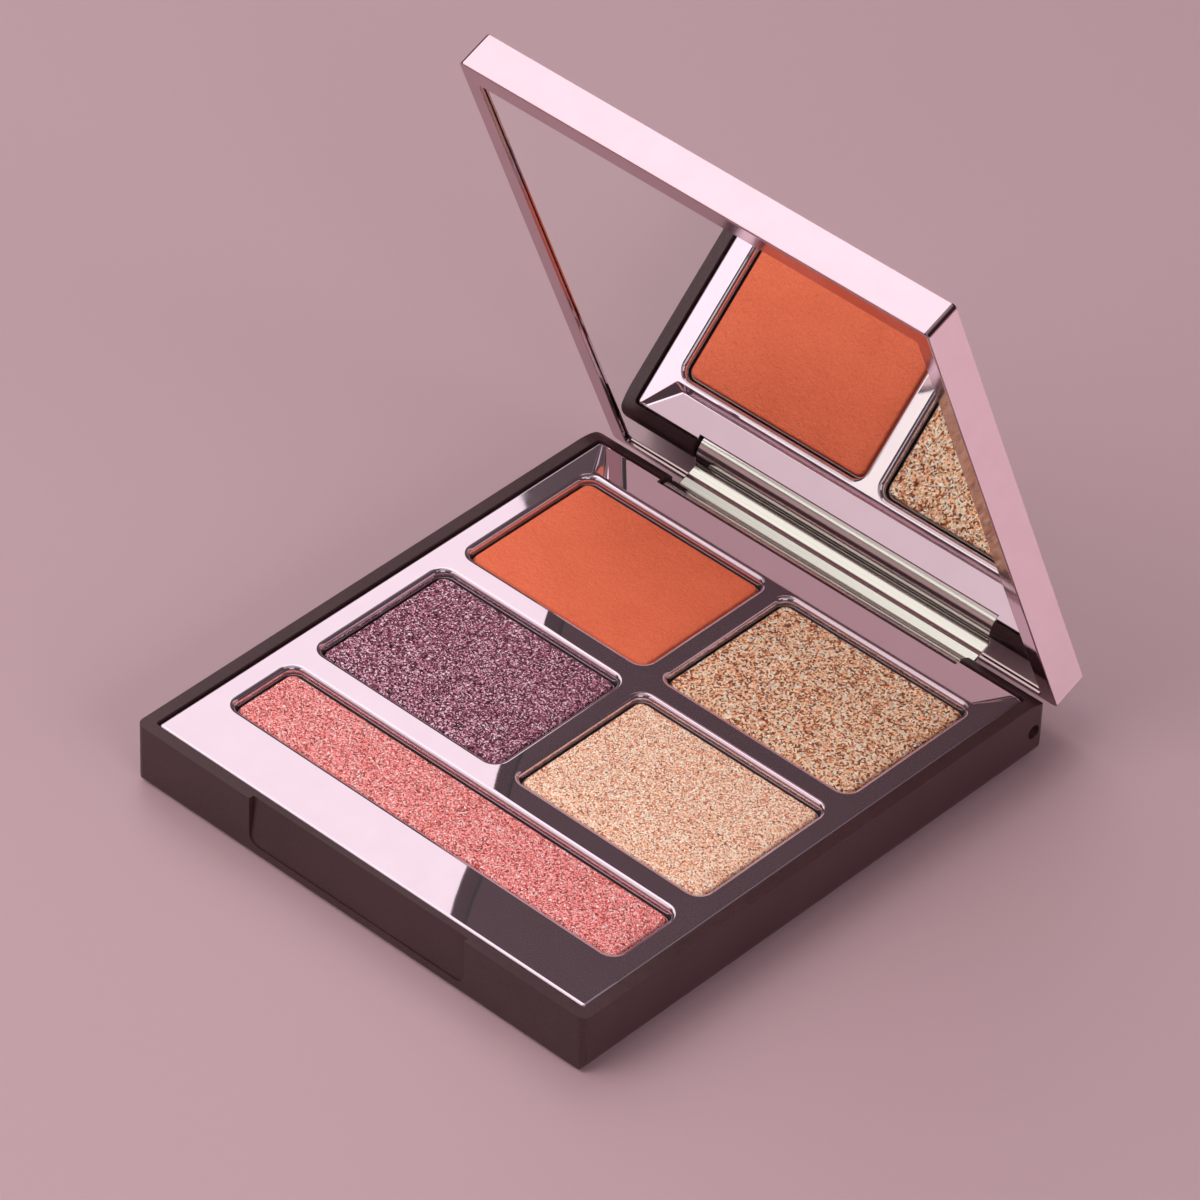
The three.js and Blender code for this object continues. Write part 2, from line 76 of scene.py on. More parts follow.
TROUGH_TOP_REAR = (36.0, 39.6)
TROUGH_LIP = 0.3
TROUGH_WALL = 0.8
TROUGH_FLARE = 0.4

# Pans and powders
PAN_GAP = 0.2
PAN_WALL = 0.25
PAN_BOTTOM = 4.35
PAN_FLOOR = 4.75
PAN_TOP = 7.2
PAN_FOOT = 0.4
PAN_FILLET = 0.3
POWDER_BOTTOM = 4.85
POWDER_TOP = 7.75
POWDER_FOOT = 0.35
POWDER_EDGE = 0.4
POWDER_CROWN = 0.1

COLUMN_INNER = 1.6
COLUMN_OUTER = 32.5
FULL_WIDTH = (-COLUMN_OUTER, COLUMN_OUTER)
LEFT_COLUMN = (-COLUMN_OUTER, -COLUMN_INNER)
RIGHT_COLUMN = (COLUMN_INNER, COLUMN_OUTER)
FRONT_ROW = (-30.8, -19.9)
MIDDLE_ROW = (-15.7, 6.9)
REAR_ROW = (10.8, 33.4)
WELLS = {
    "rose": (FULL_WIDTH, FRONT_ROW),
    "plum": (LEFT_COLUMN, MIDDLE_ROW),
    "champagne": (RIGHT_COLUMN, MIDDLE_ROW),
    "terracotta": (LEFT_COLUMN, REAR_ROW),
    "gold": (RIGHT_COLUMN, REAR_ROW),
}

# Lid, as it lies when shut
LID_X = (-WIDTH / 2, WIDTH / 2)
LID_Y = (-41.1, 40.2)
LID_Z = (BASE_HEIGHT + FIT_GAP, BASE_HEIGHT + FIT_GAP + 5.4)
LID_CORNER = 0.8
LID_OUTER_EDGE = 0.4
LID_RIM_EDGE = 0.3
LID_INNER_EDGE = 0.12
MIRROR_X = (-35.5, 35.5)
MIRROR_Y = (-38.0, 39.2)
MIRROR_Z = (9.45, 10.65)
MIRROR_CORNER = 0.5
MIRROR_BEVEL = 0.15
MIRROR_GAP = 0.2
LID_LEDGE = 2.0
LID_LEDGE_Z = 11.05
LID_HOLLOW_Z = 12.95

# Camera, as it stands to the object
CAMERA_PLACE = (496.7, -549.4, 644.2)
CAMERA_TARGET = (-7.40, 8.69, 16.96)
CAMERA_ROLL = math.radians(2.0)
CAMERA_LENS = 237.3

# How far a cutter runs past what it cuts, the radius of a corner that is left sharp, and a hair's
# breadth that keeps two faces from lying in one plane
OVERSHOOT = 1.0
SHARP = 0.02
HAIR = 0.02

# Half the floor's width
FLOOR_HALF = 3000.0

# Studio: panels that show in reflections and diffused lights that don't, as (name, place in metres,
# size in metres, radiance, colour), and the room's tone from the horizon, 0, to overhead, 1
PANELS = (
    ("key", (-0.75, 0.25, 1.05), (1.07, 1.30), 0.97, (1.0, 0.93, 0.96)),
    ("front_top", (-0.62, -0.42, 0.98), (0.75, 0.28), 0.60, (1.0, 0.82, 0.84)),
    ("front_strip", (-0.63, -0.72, 0.84), (0.75, 0.18), 1.10, (1.0, 0.97, 0.90)),
    ("front_panel", (-0.60, -0.90, 0.52), (1.00, 0.36), 0.40, (1.0, 0.62, 0.65)),
    ("right_panel", (0.95, -0.75, 1.00), (0.80, 0.80), 0.6, (1.0, 0.95, 0.96)),
)
DIFFUSED = (
    ("key_soft", (-0.75, 0.25, 1.05), (1.60, 1.50), 1.6, (1.0, 0.95, 0.96)),
    ("front_soft", (-0.45, -0.85, 0.95), (1.00, 1.00), 3.2, (1.0, 0.95, 0.94)),
    ("right_soft", (1.25, -0.15, 0.35), (1.00, 1.00), 4.6, (1.0, 0.93, 0.95)),
)
SKY = (
    (0.0, (0.050, 0.022, 0.027)),
    (0.25, (0.040, 0.020, 0.024)),
    (0.45, (0.040, 0.025, 0.029)),
    (0.72, (0.060, 0.040, 0.045)),
    (0.88, (0.30, 0.26, 0.28)),
    (1.0, (0.50, 0.45, 0.47)),
)


# ---- Mesh making ----


def new_object(name, verts, faces):
    """A mesh object from points in millimetres."""
    mesh = bpy.data.meshes.new(name)
    mesh.from_pydata([Vector(v) * MM for v in verts], [], faces)
    mesh.validate()
    obj = bpy.data.objects.new(name, mesh)
    bpy.context.scene.collection.objects.link(obj)
    face_outwards(obj)
    return obj


def face_outwards(obj):
    shape = bmesh.new()
    shape.from_mesh(obj.data)
    bmesh.ops.recalc_face_normals(shape, faces=shape.faces)
    shape.to_mesh(obj.data)
    shape.free()


def rounded_ring(x_range, y_range, radius, z, steps=8):
    """The points of a rounded rectangle at height z, anticlockwise from its right front corner."""
    radius = max(radius, SHARP)
    corners = (
        (x_range[1] - radius, y_range[0] + radius, -90),
        (x_range[1] - radius, y_range[1] - radius, 0),
        (x_range[0] + radius, y_range[1] - radius, 90),
        (x_range[0] + radius, y_range[0] + radius, 180),
    )
    points = []
    for x, y, start in corners:
        for i in range(steps + 1):
            angle = math.radians(start + 90 * i / steps)
            points.append((x + radius * math.cos(angle), y + radius * math.sin(angle), z))
    return points


def grow(span, amount):
    return (span[0] - amount, span[1] + amount)


def offset_ring(x_range, y_range, radius, amount, z, steps=8):
    """A rounded rectangle's ring moved outwards by amount, or inwards where amount is negative."""
    return rounded_ring(grow(x_range, amount), grow(y_range, amount), radius + amount, z, steps)


def loft(name, rings):
    """A closed solid through rings of equal point count, capped at its first and last ring."""
    count = len(rings[0])
    verts = [point for ring in rings for point in ring]
    faces = [tuple(reversed(range(count)))]
    for level in range(len(rings) - 1):
        low = level * count
        for i in range(count):
            j = (i + 1) % count
            faces.append((low + i, low + j, low + count + j, low + count + i))
    last = (len(rings) - 1) * count
    faces.append(tuple(range(last, last + count)))
    return new_object(name, verts, faces)


def prism_along_x(name, profile, half_length):
    """A prism on a (y, z) outline, from -half_length to half_length along X."""
    left = [(-half_length, y, z) for y, z in profile]
    right = [(half_length, y, z) for y, z in profile]
    return loft(name, [left, right])


def hinge_circle(x, radius, segments=48):
    """A circle about the hinge axis."""
    points = []
    for i in range(segments):
        angle = 2 * math.pi * i / segments
        points.append((x, HINGE_Y + radius * math.cos(angle), HINGE_Z + radius * math.sin(angle)))
    return points


def hinge_cylinder(name, x_ends, radius, segments=48):
    return loft(name, [hinge_circle(x, radius, segments) for x in x_ends])


def block(name, x_range, y_range, z_range):
    return loft(name, [rounded_ring(x_range, y_range, SHARP, z, 1) for z in z_range])


def quarter_steps(radius, steps=4):
    """(sideways, upwards) offsets along a rounded edge, from the wall to the face."""
    angles = [math.pi / 2 * i / steps for i in range(steps + 1)]
    return [(radius * (1 - math.cos(a)), radius * math.sin(a)) for a in angles]


def apply_modifiers(obj):
    """Turns the object's modifiers into mesh."""
    graph = bpy.context.evaluated_depsgraph_get()
    mesh = bpy.data.meshes.new_from_object(obj.evaluated_get(graph))
    obj.modifiers.clear()
    old = obj.data
    obj.data = mesh
    bpy.data.meshes.remove(old)


def combine(obj, other, operation):
    """Joins or cuts obj with other, which is used up."""
    step = obj.modifiers.new("combine", "BOOLEAN")
    step.operation = operation
    step.solver = "EXACT"
    step.object = other
    apply_modifiers(obj)
    bpy.data.objects.remove(other)


def cut(obj, other):
    combine(obj, other, "DIFFERENCE")


def join(obj, other):
    combine(obj, other, "UNION")


def soften_edges(obj, width, segments=3, angle=35):
    """Rounds every edge sharper than angle degrees."""
    step = obj.modifiers.new("soften", "BEVEL")
    step.width = width * MM
    step.segments = segments
    step.limit_method = "ANGLE"
    step.angle_limit = math.radians(angle)
    step.miter_outer = "MITER_ARC"
    step.use_clamp_overlap = True
    apply_modifiers(obj)


def merge_flat_faces(obj, angle=0.5):
    """Joins the triangles of each flat face and drops doubled points."""
    shape = bmesh.new()
    shape.from_mesh(obj.data)
    bmesh.ops.remove_doubles(shape, verts=shape.verts, dist=0.002 * MM)
    bmesh.ops.dissolve_limit(
        shape, angle_limit=math.radians(angle), verts=shape.verts, edges=shape.edges
    )
    shape.to_mesh(obj.data)
    shape.free()


def shade(obj, angle=40):
    """Smooth shading with crisp edges above angle, weighted so that flat faces stay flat."""
    for face in obj.data.polygons:
        face.use_smooth = True
    shape = bmesh.new()
    shape.from_mesh(obj.data)
    for edge in shape.edges:
        edge.smooth = len(edge.link_faces) == 2 and edge.calc_face_angle(0) < math.radians(angle)
    shape.to_mesh(obj.data)
    shape.free()
    step = obj.modifiers.new("weighted", "WEIGHTED_NORMAL")
    step.keep_sharp = True
    step.weight = 90
    apply_modifiers(obj)


def open_lid(obj):
    """Turns a piece of the lid from shut to the rest pose."""
    hinge = Matrix.Translation((0, HINGE_Y * MM, HINGE_Z * MM))
    turn = hinge @ Matrix.Rotation(-OPEN_ANGLE, 4, "X") @ hinge.inverted()
    obj.data.transform(turn)


def finish_piece(obj, materials, body, replaced):
    """Gives a piece its material, or a tuple of them, and its place in the model."""
    if isinstance(materials, bpy.types.Material):
        materials = (materials,)
    for material in materials:
        obj.data.materials.append(material)
    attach(obj, body)
    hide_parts(replaced)
    return obj


# ---- Materials ----


def fill_ramp(node, stops):
    """Sets a colour ramp's stops, each (position, (r, g, b))."""
    elements = node.color_ramp.elements
    while len(elements) < len(stops):
        elements.new(0.5)
    for element, (position, color) in zip(elements, stops):
        element.position = position
        element.color = (*color, 1.0)


class Paint:
    """A node material with one Principled shader, read in the piece's own metres."""

    def __init__(self, name, **sockets):
        self.material = bpy.data.materials.new(name)
        self.material.use_nodes = True
        self.tree = self.material.node_tree
        self.shader = self.tree.nodes["Principled BSDF"]
        self.place = self.add("ShaderNodeTexCoord").outputs["Object"]
        for socket, value in sockets.items():
            self.shader.inputs[socket.replace("_", " ")].default_value = value

    def add(self, kind, **settings):
        node = self.tree.nodes.new(kind)
        for key, value in settings.items():
            setattr(node, key, value)
        return node

    def link(self, source, target):
        self.tree.links.new(source, target)

    def noise(self, scale, detail=2.0, roughness=0.5, place=None):
        node = self.add("ShaderNodeTexNoise")
        node.inputs["Scale"].default_value = scale
        node.inputs["Detail"].default_value = detail
        node.inputs["Roughness"].default_value = roughness
        self.link(place or self.place, node.inputs["Vector"])
        return node.outputs["Fac"]

    def grains(self, scale):
        """For each grain, a random value and a random vector: the red and the colour of a Voronoi cell."""
        node = self.add("ShaderNodeTexVoronoi")
        node.inputs["Scale"].default_value = scale
        self.link(self.place, node.inputs["Vector"])
        split = self.add("ShaderNodeSeparateColor")
        self.link(node.outputs["Color"], split.inputs["Color"])
        return split.outputs["Red"], node.outputs["Color"]

    def vector_math(self, operation, first, second):
        node = self.add("ShaderNodeVectorMath", operation=operation)
        for socket, value in zip(node.inputs, (first, second)):
            if isinstance(value, bpy.types.NodeSocket):
                self.link(value, socket)
            else:
                socket.default_value = value
        return node.outputs["Vector"]

    def tilt_grains(self, tilt, amount):
        """Leans the surface under each grain by its own random vector."""
        normal = self.add("ShaderNodeNewGeometry").outputs["Normal"]
        centred = self.vector_math("SUBTRACT", tilt, (0.5, 0.5, 0.5))
        lean = self.vector_math("MULTIPLY", centred, (amount, amount, amount))
        leaning = self.vector_math("ADD", normal, lean)
        self.set("Normal", self.vector_math("NORMALIZE", leaning, (0.0, 0.0, 0.0)))

    def ramp(self, value, stops):
        """A colour ramp; stops are (position, (r, g, b)) or (position, grey)."""
        node = self.add("ShaderNodeValToRGB")
        fill_ramp(node, [(at, color if isinstance(color, tuple) else (color,) * 3) for at, color in stops])
        self.link(value, node.inputs["Fac"])
        return node.outputs["Color"]

    def mix(self, factor, first, second, blend="MIX"):
        node = self.add("ShaderNodeMix", data_type="RGBA", blend_type=blend)
        factor_socket, first_socket, second_socket = node.inputs["Factor"], node.inputs[6], node.inputs[7]
        for socket, value in ((factor_socket, factor), (first_socket, first), (second_socket, second)):
            if isinstance(value, bpy.types.NodeSocket):
                self.link(value, socket)
            elif isinstance(value, tuple):
                socket.default_value = (*value, 1.0)
            else:
                socket.default_value = value
        return node.outputs[2]

    def bump(self, layers):
        """Stacks bumps; layers are (height, depth in millimetres)."""
        normal = None
        for height, depth in layers:
            node = self.add("ShaderNodeBump")
            node.inputs["Strength"].default_value = 1.0
            node.inputs["Distance"].default_value = depth * MM
            self.link(height, node.inputs["Height"])
            if normal is not None:
                self.link(normal, node.inputs["Normal"])
            normal = node.outputs["Normal"]
        self.link(normal, self.shader.inputs["Normal"])

    def set(self, socket, source):
        self.link(source, self.shader.inputs[socket])


def satin_plastic():
    paint = Paint("case_brown", Specular_IOR_Level=0.5)
    tone = paint.noise(90, 3)
    body = paint.ramp(tone, [(0.3, (0.045, 0.018, 0.020)), (0.7, (0.058, 0.024, 0.027))])
    grain = paint.noise(3800, 2, 0.7)
    speck = paint.ramp(grain, [(0.35, 0.6), (0.65, 1.0)])
    paint.set("Base Color", paint.mix(1.0, body, speck, "MULTIPLY"))
    paint.set("Roughness", paint.ramp(grain, [(0.3, 0.28), (0.7, 0.40)]))
    paint.bump([(grain, 0.006)])
    return paint.material


def metallised(name, low, high, rough=(0.02, 0.035), metallic=1.0):
    """Bright metallised plastic, whose moulded surface is very slightly wavy."""
    paint = Paint(name, Metallic=metallic)
    haze = paint.noise(240, 3)
    paint.set("Base Color", paint.ramp(haze, [(0.3, low), (0.7, high)]))
    paint.set("Roughness", paint.ramp(haze, [(0.35, rough[0]), (0.7, rough[1])]))
    paint.bump([(paint.noise(140, 1), 0.012)])
    return paint.material


def mirror_glass():
    paint = Paint("mirror", Metallic=1.0)
    haze = paint.noise(60, 2)
    paint.set("Base Color", paint.ramp(haze, [(0.3, (0.93, 0.95, 0.94)), (0.7, (0.95, 0.97, 0.96))]))
    paint.set("Roughness", paint.ramp(haze, [(0.3, 0.012), (0.7, 0.02)]))
    return paint.material


def plain_metal(name, low, high, grain_scale, rough):
    paint = Paint(name, Metallic=1.0)
    grain = paint.noise(grain_scale, 3)
    paint.set("Base Color", paint.ramp(grain, [(0.3, low), (0.7, high)]))
    paint.set("Roughness", paint.ramp(grain, [(0.3, rough[0]), (0.7, rough[1])]))
    paint.bump([(grain, 0.003)])
    return paint.material


def drawn_silver():
    """Bare metallising with fine streaks along the hinge."""
    paint = Paint("knuckle_silver", Metallic=1.0)
    streaks = paint.noise(5000, 2, place=paint.vector_math("MULTIPLY", paint.place, (0.01, 1.0, 1.0)))
    paint.set("Base Color", paint.ramp(streaks, [(0.35, (0.80, 0.78, 0.74)), (0.65, (0.92, 0.90, 0.86))]))
    paint.set("Roughness", paint.ramp(streaks, [(0.3, 0.10), (0.7, 0.16)]))
    return paint.material


def adhesive():
    paint = Paint("adhesive")
    grain = paint.noise(900, 3)
    paint.set("Base Color", paint.ramp(grain, [(0.3, (0.74, 0.70, 0.62)), (0.7, (0.82, 0.78, 0.70))]))
    paint.set("Roughness", paint.ramp(grain, [(0.3, 0.5), (0.7, 0.65)]))
    return paint.material


def matte_powder(name, dark, light):
    """Pressed matte powder: soft cloudy tone, with fine pits from the press."""
    paint = Paint(name, Roughness=0.8)
    cloud = paint.noise(130, 4, 0.6)
    dust = paint.noise(3800, 2, 0.7)
    body = paint.ramp(cloud, [(0.3, dark), (0.7, light)])
    speck = paint.ramp(dust, [(0.35, 0.84), (0.65, 1.0)])
    paint.set("Base Color", paint.mix(1.0, body, speck, "MULTIPLY"))
    pits = paint.ramp(paint.noise(1500, 2, 0.6), [(0.36, 0.0), (0.5, 1.0)])
    paint.bump([(pits, 0.04), (paint.noise(420, 2, 0.5), 0.06), (dust, 0.04)])
    return paint.material


def glitter_powder(name, stops, scale, metallic, rough, facet, glint_flakes=0.015):
    """Pressed shimmer powder: each grain has its own tone and its own tilt, and a few grains are painted in
    the brightest colour as glints.
    """
    paint = Paint(name, Metallic=metallic, Roughness=rough)
    tone, tilt = paint.grains(scale)
    body = paint.ramp(tone, stops)
    coarse, _ = paint.grains(scale * 0.6)
    # Painted glints: a few coarse grains take the ramp's brightest colour in their base colour.
    painted_glint = paint.ramp(coarse, [(1.0 - glint_flakes, 0.0), (1.0 - glint_flakes * 0.5, 0.85)])
    paint.set("Base Color", paint.mix(painted_glint, body, stops[-1][1]))
    paint.tilt_grains(tilt, facet)
    return paint.material


def floor_material():
    paint = Paint("floor", Roughness=0.5, Specular_IOR_Level=0.8)
    tone = paint.noise(3, 2)
    paint.set("Base Color", paint.ramp(tone, [(0.3, (0.43, 0.288, 0.315)), (0.7, (0.45, 0.302, 0.330))]))
    return paint.material


# ---- Base ----


def make_base_shell(material):
    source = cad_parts["base_shell"]
    obj = bpy.data.objects.new("base_case", source.data.copy())
    obj.data.materials.clear()
    bpy.context.scene.collection.objects.link(obj)
    merge_flat_faces(obj)
    soften_edges(obj, BASE_EDGE, 3, 40)
    shade(obj)
    return finish_piece(obj, material, "base", "base_shell")


def well_cutter(x_range, y_range):
    """The space of one well, which flares at the top to leave a rounded lip on the tray."""
    rings = [offset_ring(x_range, y_range, WELL_RADIUS, -WELL_FOOT, WELL_FLOOR)]
    rings.append(offset_ring(x_range, y_range, WELL_RADIUS, 0, WELL_FLOOR + WELL_FOOT))
    for aside, up in quarter_steps(WELL_LIP, 6):
        rings.append(offset_ring(x_range, y_range, WELL_RADIUS, aside, TRAY_TOP - WELL_LIP + up))
    rings.append(offset_ring(x_range, y_range, WELL_RADIUS, WELL_LIP, TRAY_TOP + OVERSHOOT))
    return loft("well_cutter", rings)


def trough_ring(front, rear, grow_by, z_front, z_rear):
    """Four corners of the trough at one level, grown outwards in plan; front and rear are (x, y)."""
    return [
        (-front[0] - grow_by, front[1] - grow_by, z_front),
        (front[0] + grow_by, front[1] - grow_by, z_front),
        (rear[0] + grow_by, rear[1] + grow_by, z_rear),
        (-rear[0] - grow_by, rear[1] + grow_by, z_rear),
    ]


def trough_cutter():
    """The space behind the back wells: its ends run from the wells' corners to the tray's corners."""
    floor_front, floor_rear = TROUGH_FLOOR_FRONT, TROUGH_FLOOR_REAR
    above = TRAY_TOP + OVERSHOOT
    rings = [
        trough_ring(floor_front, floor_rear, 0, floor_front[2], floor_rear[2]),
        trough_ring(TROUGH_TOP_FRONT, TROUGH_TOP_REAR, 0, TRAY_TOP, TRAY_TOP),
        trough_ring(TROUGH_TOP_FRONT, TROUGH_TOP_REAR, TROUGH_FLARE, above, above),
    ]
    cutter = loft("trough_cutter", rings)
    soften_edges(cutter, TROUGH_LIP, 4, 20)
    return cutter


def trough_underside():
    """The material below the trough's floor, which steps up towards the back and laps into the tray."""
    lap_front, lap_rear = 0.4, 0.6
    front_y, front_low = TROUGH_FLOOR_FRONT[1], TROUGH_FLOOR_FRONT[2] - TROUGH_WALL
    rear_y, rear_low = TROUGH_FLOOR_REAR[1], TROUGH_FLOOR_REAR[2] - TROUGH_WALL
    front_end = front_y - 2 * TROUGH_WALL
    rear_end = TRAY_Y[1] - 0.05
    profile = [
        (front_end, TRAY_BOTTOM + lap_front),
        (front_end, front_low),
        (front_y + 0.6, front_low),
        (rear_y, rear_low),
        (rear_end, rear_low),
        (rear_end, TRAY_BOTTOM + lap_rear),
    ]
    return prism_along_x("under", profile, TROUGH_FLOOR_REAR[0] + 0.3)


def make_tray(material):
    """The tray: a plate with a rounded edge, a cup under each well, and a trough behind the wells."""

    def ring(aside, z):
        return offset_ring(TRAY_X, TRAY_Y, TRAY_CORNER, -aside, z)

    rings = [ring(0, TRAY_BOTTOM), ring(0, TRAY_TOP - TRAY_EDGE)]
    rings += [ring(aside, TRAY_TOP - TRAY_EDGE + up) for aside, up in quarter_steps(TRAY_EDGE, 4)[1:]]
    tray = loft("tray_insert", rings)
    join(tray, trough_underside())
    for x_range, y_range in WELLS.values():
        levels = (CUP_BOTTOM, TRAY_BOTTOM + 0.5)
        cup = loft("cup", [offset_ring(x_range, y_range, WELL_RADIUS, WELL_WALL, z) for z in levels])
        join(tray, cup)
    for x_range, y_range in WELLS.values():
        cut(tray, well_cutter(x_range, y_range))
    cut(tray, trough_cutter())
    cut(tray, block("knuckle_side", (-NOTCH_X, NOTCH_X), (NOTCH_Y, DEPTH), (0, TRAY_TOP + OVERSHOOT)))
    cut(tray, hinge_cylinder("knuckle_path", (-NOTCH_X, NOTCH_X), KNUCKLE_RADIUS + KNUCKLE_GAP, 96))
    merge_flat_faces(tray, 0.2)
    shade(tray)
    return finish_piece(tray, material, "base", "pan_tray")


def make_pan(name, x_range, y_range, material):
    """A stamped pan with a rounded rim and a soft inner corner."""
    radius = WELL_RADIUS
    lip = PAN_WALL / 2

    def ring(amount, z):
        return offset_ring(x_range, y_range, radius, amount - PAN_GAP, z)

    rings = [
        ring(-PAN_FOOT, PAN_BOTTOM),
        ring(-PAN_FOOT / 4, PAN_BOTTOM + PAN_FOOT / 4),
        ring(0, PAN_BOTTOM + PAN_FOOT),
    ]
    for i in range(9):
        angle = math.pi * i / 8
        rings.append(ring(-lip + lip * math.cos(angle), PAN_TOP - lip + lip * math.sin(angle)))
    rings.append(ring(-PAN_WALL, PAN_FLOOR + PAN_FILLET))
    rings.append(ring(-PAN_WALL - PAN_FILLET, PAN_FLOOR))
    pan = loft(f"godet_{name}", rings)
    shade(pan)
    return finish_piece(pan, material, "base", f"pan_{name}")


def make_powder(name, x_range, y_range, material):
    """A pressed cake with a rounded edge and a slightly crowned top."""
    inset = PAN_GAP + PAN_WALL
    span = min(x_range[1] - x_range[0], y_range[1] - y_range[0]) / 2 - inset

    def ring(aside, z):
        return offset_ring(x_range, y_range, WELL_RADIUS, -inset - aside, z, 10)

    rings = [ring(POWDER_FOOT, POWDER_BOTTOM), ring(0, POWDER_BOTTOM + POWDER_FOOT)]
    for aside, up in quarter_steps(POWDER_EDGE, 6):
        rings.append(ring(aside, POWDER_TOP - POWDER_EDGE + up))
    steps = 10
    for i in range(1, steps):
        aside = POWDER_EDGE + (span - POWDER_EDGE) * i / steps
        rise = POWDER_CROWN * (1 - (1 - i / steps) ** 3)
        rings.append(ring(aside, POWDER_TOP + rise))
    powder = loft(f"cake_{name}", rings)
    shade(powder, 60)
    return finish_piece(powder, material, "base", f"powder_{name}")


def make_pin(side, sign, material):
    """A wire pin with a chamfer at its inner end and a rounded outer end."""
    ends = PIN_ENDS
    core = PIN_RADIUS - PIN_BEVEL
    steps = 5
    profile = [(ends[0], core), (ends[0] + PIN_BEVEL, PIN_RADIUS)]
    for i in range(steps + 1):
        angle = math.pi / 2 * i / steps
        x = ends[1] - PIN_BEVEL + PIN_BEVEL * math.sin(angle)
        profile.append((x, core + PIN_BEVEL * math.cos(angle)))
    pin = loft(f"wire_pin_{side}", [hinge_circle(sign * x, radius) for x, radius in profile])
    shade(pin)
    return finish_piece(pin, material, "base", f"hinge_pin_{side}")


# ---- Lid ----


def knuckle_profile():
    """The knuckle's (y, z) outline: round towards the tray, flat at the back, with a web up to the lid."""
    radius = KNUCKLE_RADIUS
    top = MIRROR_Z[0] - 0.1
    start = math.asin(KNUCKLE_WEB / radius)
    end = math.pi / 2 + math.asin(KNUCKLE_BELOW / radius)
    steps = 40
    points = [(HINGE_Y - KNUCKLE_WEB, top)]
    for i in range(steps + 1):
        angle = start + (end - start) * i / steps
        points.append((HINGE_Y - radius * math.sin(angle), HINGE_Z + radius * math.cos(angle)))
    rear_drop = math.sqrt(KNUCKLE_BELOW**2 - KNUCKLE_REAR**2)
    sweep = math.pi / 2 - math.asin(rear_drop / KNUCKLE_BELOW)
    for i in range(9):
        angle = sweep * i / 8
        points.append((HINGE_Y + KNUCKLE_BELOW * math.sin(angle), HINGE_Z - KNUCKLE_BELOW * math.cos(angle)))
    points.append((HINGE_Y + KNUCKLE_REAR, HINGE_Z + KNUCKLE_BELOW))
    points.append((LID_Y[1] - HAIR, top))
    return points


def lid_finish(place, normal):
    """Which of the lid's finishes a face has: 0 pearl, 1 the darker rim metal or 2 silver. The darker metal
    is partly the rim's own tone and partly painted shade: it goes on faces in the mirror opening, on faces
    that face down when shut, and on the rounded corners.
    """
    margin = 0.05
    if place.z < LID_Z[0] - HAIR:
        return 2
    across = abs(place.x) < MIRROR_X[1] + margin
    along = MIRROR_Y[0] - margin < place.y < MIRROR_Y[1] + margin
    # Painted shade: faces in the mirror opening, faces that face down when shut and faces on the rounded
    # corners take the darker rim metal.
    inside = across and along and place.z < LID_HOLLOW_Z + 2 * margin
    faces_down = normal.z < -0.5
    on_corner = min(abs(normal.x), abs(normal.y)) > 0.2
    return int(inside or faces_down or on_corner)


def mirror_ring(amount, z):
    """The mirror opening's outline, moved outwards by amount."""
    return offset_ring(MIRROR_X, MIRROR_Y, MIRROR_CORNER, amount, z)


def make_lid_shell(pearl, rim, silver):
    """The lid's cover: pearly outside, darker metal on the rim, the mirror opening and the rounded corners
    (partly the rim's own tone, partly painted shade), and bare silver on the knuckle.
    """
    top = LID_Z[1]
    bottom = LID_Z[0]
    rings = []
    for aside, up in reversed(quarter_steps(LID_OUTER_EDGE, 6)):
        rings.append(offset_ring(LID_X, LID_Y, LID_CORNER, -aside, top - LID_OUTER_EDGE + up))
    for aside, up in quarter_steps(LID_RIM_EDGE, 5):
        rings.append(offset_ring(LID_X, LID_Y, LID_CORNER, -aside, bottom + LID_RIM_EDGE - up))
    for aside, up in reversed(quarter_steps(LID_INNER_EDGE, 3)):
        rings.append(mirror_ring(aside, bottom + LID_INNER_EDGE - up))
    rings.append(mirror_ring(0, LID_LEDGE_Z))
    rings.append(mirror_ring(-LID_LEDGE, LID_LEDGE_Z))
    rings.append(mirror_ring(-LID_LEDGE - 0.3, LID_HOLLOW_Z))
    shell = loft("lid_cover", rings)
    knuckle = prism_along_x("knuckle", knuckle_profile(), KNUCKLE_HALF)
    soften_edges(knuckle, KNUCKLE_EDGE, 3, 60)
    join(shell, knuckle)
    bore = hinge_cylinder("bore", grow((-KNUCKLE_HALF, KNUCKLE_HALF), OVERSHOOT), KNUCKLE_BORE)
    cut(shell, bore)
    merge_flat_faces(shell, 0.2)
    shade(shell)
    for face in shell.data.polygons:
        face.material_index = lid_finish(face.center / MM, face.normal)
    open_lid(shell)
    return finish_piece(shell, (pearl, rim, silver), "lid", "lid_shell")


def make_mirror(material):
    low, high = MIRROR_Z
    rings = [
        mirror_ring(-MIRROR_GAP, high),
        mirror_ring(-MIRROR_GAP, low + MIRROR_BEVEL),
        mirror_ring(-MIRROR_GAP - MIRROR_BEVEL, low),
    ]
    glass = loft("mirror_glass", rings)
    shade(glass, 20)
    open_lid(glass)
    return finish_piece(glass, material, "lid", "mirror")


# ---- Hidden pieces that keep their CAD shape ----


def paint_hidden_nodes(materials):
    """Gives each CAD node whose name holds one of the words that word's material."""
    for name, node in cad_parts.items():
        for word, material in materials.items():
            if word in name:
                node.data.materials.clear()
                node.data.materials.append(material)


# ---- Studio ----


def aim(obj, place, target):
    """Puts obj at place, with its -Z towards target and its X level."""
    back = (Vector(place) - Vector(target)).normalized()
    right = Vector((0, 0, 1)).cross(back).normalized()
    up = back.cross(right)
    turn = Matrix((right, up, back)).transposed().to_4x4()
    obj.matrix_world = Matrix.Translation(Vector(place)) @ turn
    return obj


